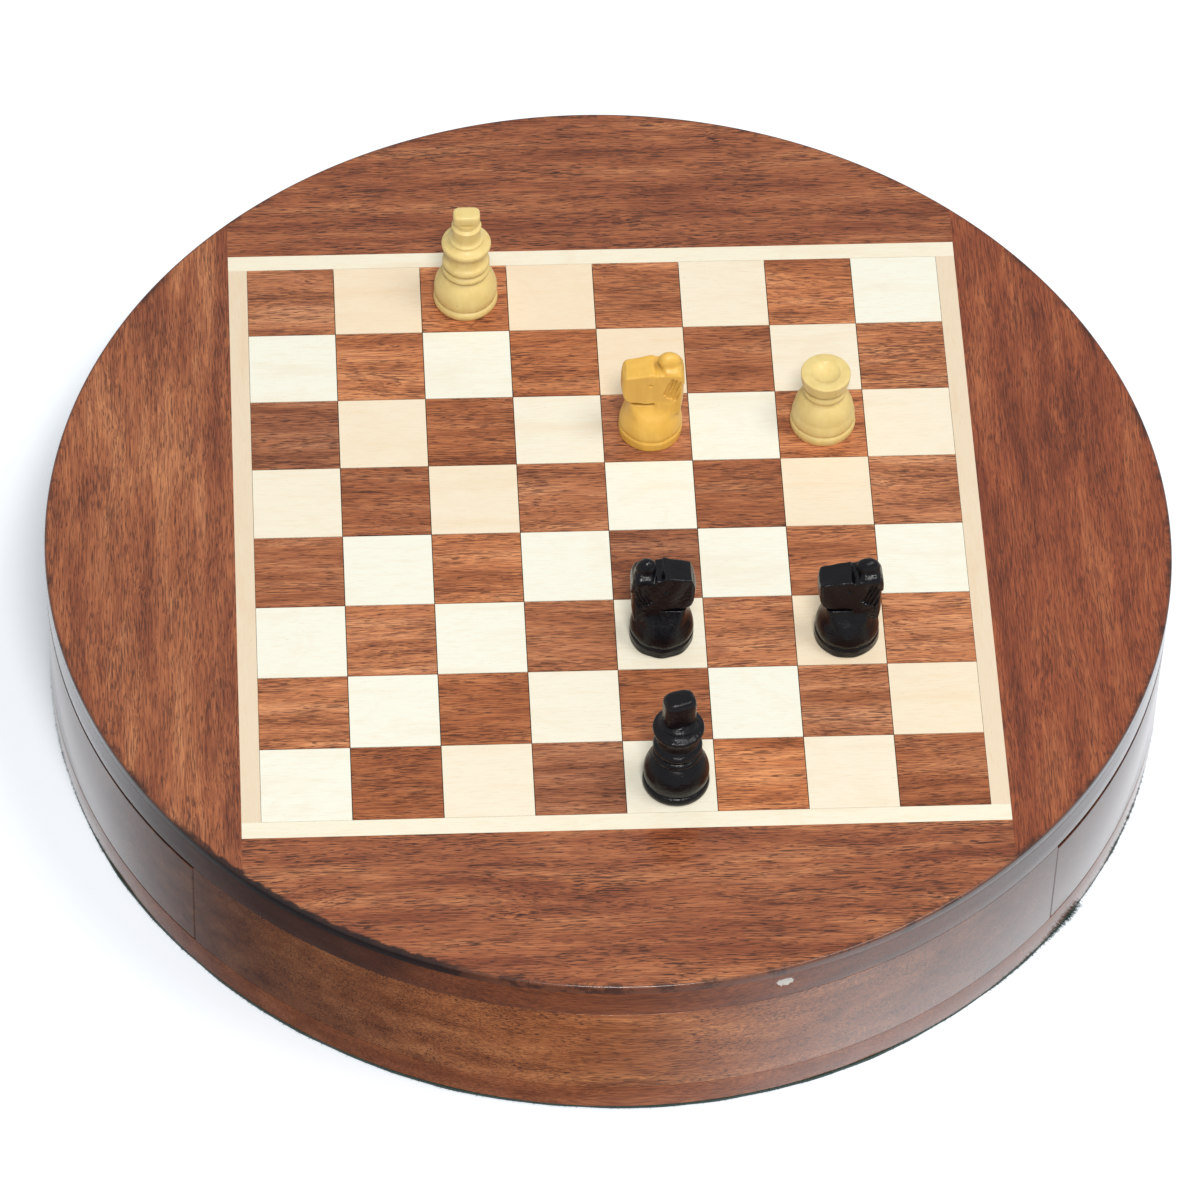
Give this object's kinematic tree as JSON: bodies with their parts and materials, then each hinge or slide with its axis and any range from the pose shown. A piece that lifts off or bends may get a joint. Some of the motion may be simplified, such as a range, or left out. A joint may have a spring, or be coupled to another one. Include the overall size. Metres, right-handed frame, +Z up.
{
  "type": "magnetic chess set",
  "caption": "Round wooden magnetic chess set: an inlaid board on a layered case with two drawers that slide out sideways, and small turned chess pieces with magnets in their feet.",
  "frame": {"origin": "middle of the underside of the base felt, which the set rests on", "axes": "+Z up through the board, +X to the right of the board as pictured and along the drawers' travel, +Y to the rear, away from the camera"},
  "size_m": [0.1778, 0.1778, 0.0525],
  "materials": {
    "base_felt": "dark green felt",
    "panel_wood": "dark red-brown wood, satin lacquer",
    "block_wood": "red-brown open-grained wood, satin lacquer",
    "rim_wood": "red-brown wood with dark pores, satin lacquer",
    "dark_squares": "dark red-brown wood, satin lacquer",
    "light_squares": "pale maple, satin lacquer",
    "border_wood": "pale maple, satin lacquer",
    "drawer_wood": "plain sanded wood",
    "drawer_lining": "green felt",
    "steel": "plain sheet",
    "magnet": "nickel plated",
    "white_pieces": "pale yellow boxwood, clear lacquer",
    "black_pieces": "black stain and lacquer on brown wood"
  },
  "bodies": {
    "case": {"base_felt": "base_felt", "board_dark_squares": "dark_squares", "board_light_squares": "light_squares", "border_strip_front": "border_wood", "border_strip_left": "border_wood", "border_strip_rear": "border_wood", "border_strip_right": "border_wood", "bottom_panel": "panel_wood", "centre_divider": "drawer_wood", "front_block": "block_wood", "rear_block": "block_wood", "rim_segment_front": "rim_wood", "rim_segment_left": "rim_wood", "rim_segment_rear": "rim_wood", "rim_segment_right": "rim_wood", "steel_sheet": "steel", "top_panel": "panel_wood"},
    "drawer_left": {"black_bishops_stowed": "black_pieces", "black_pawns_stowed": "black_pieces", "black_queen_stowed": "black_pieces", "black_rooks_stowed": "black_pieces", "drawer_left_back": "drawer_wood", "drawer_left_bottom": "drawer_wood", "drawer_left_front": "block_wood", "drawer_left_lining": "drawer_lining", "drawer_left_side_front": "drawer_wood", "drawer_left_side_rear": "drawer_wood"},
    "drawer_right": {"drawer_right_back": "drawer_wood", "drawer_right_bottom": "drawer_wood", "drawer_right_front": "block_wood", "drawer_right_lining": "drawer_lining", "drawer_right_side_front": "drawer_wood", "drawer_right_side_rear": "drawer_wood", "white_bishops_stowed": "white_pieces", "white_knight_stowed": "white_pieces", "white_pawns_stowed": "white_pieces", "white_queen_stowed": "white_pieces", "white_rook_stowed": "white_pieces"},
    "white_king": {"white_king": "white_pieces", "white_king_magnet": "magnet"},
    "white_knight": {"white_knight": "white_pieces", "white_knight_magnet": "magnet"},
    "white_rook": {"white_rook": "white_pieces", "white_rook_magnet": "magnet"},
    "black_knight_left": {"black_knight_left": "black_pieces", "black_knight_left_magnet": "magnet"},
    "black_knight_right": {"black_knight_right": "black_pieces", "black_knight_right_magnet": "magnet"},
    "black_king": {"black_king": "black_pieces", "black_king_magnet": "magnet"}
  },
  "joints": [
    {"name": "drawer_left_slide", "type": "slide", "parent": "case", "child": "drawer_left", "axis": [-1, 0, 0], "range_m": [0, 0.05]},
    {"name": "drawer_right_slide", "type": "slide", "parent": "case", "child": "drawer_right", "axis": [1, 0, 0], "range_m": [0, 0.05]},
    {"name": "white_king_lift", "type": "slide", "parent": "case", "child": "white_king", "axis": [0, 0, 1], "range_m": [0, 0.04]},
    {"name": "white_knight_lift", "type": "slide", "parent": "case", "child": "white_knight", "axis": [0, 0, 1], "range_m": [0, 0.04]},
    {"name": "white_rook_lift", "type": "slide", "parent": "case", "child": "white_rook", "axis": [0, 0, 1], "range_m": [0, 0.04]},
    {"name": "black_knight_left_lift", "type": "slide", "parent": "case", "child": "black_knight_left", "axis": [0, 0, 1], "range_m": [0, 0.04]},
    {"name": "black_knight_right_lift", "type": "slide", "parent": "case", "child": "black_knight_right", "axis": [0, 0, 1], "range_m": [0, 0.04]},
    {"name": "black_king_lift", "type": "slide", "parent": "case", "child": "black_king", "axis": [0, 0, 1], "range_m": [0, 0.04]}
  ]
}
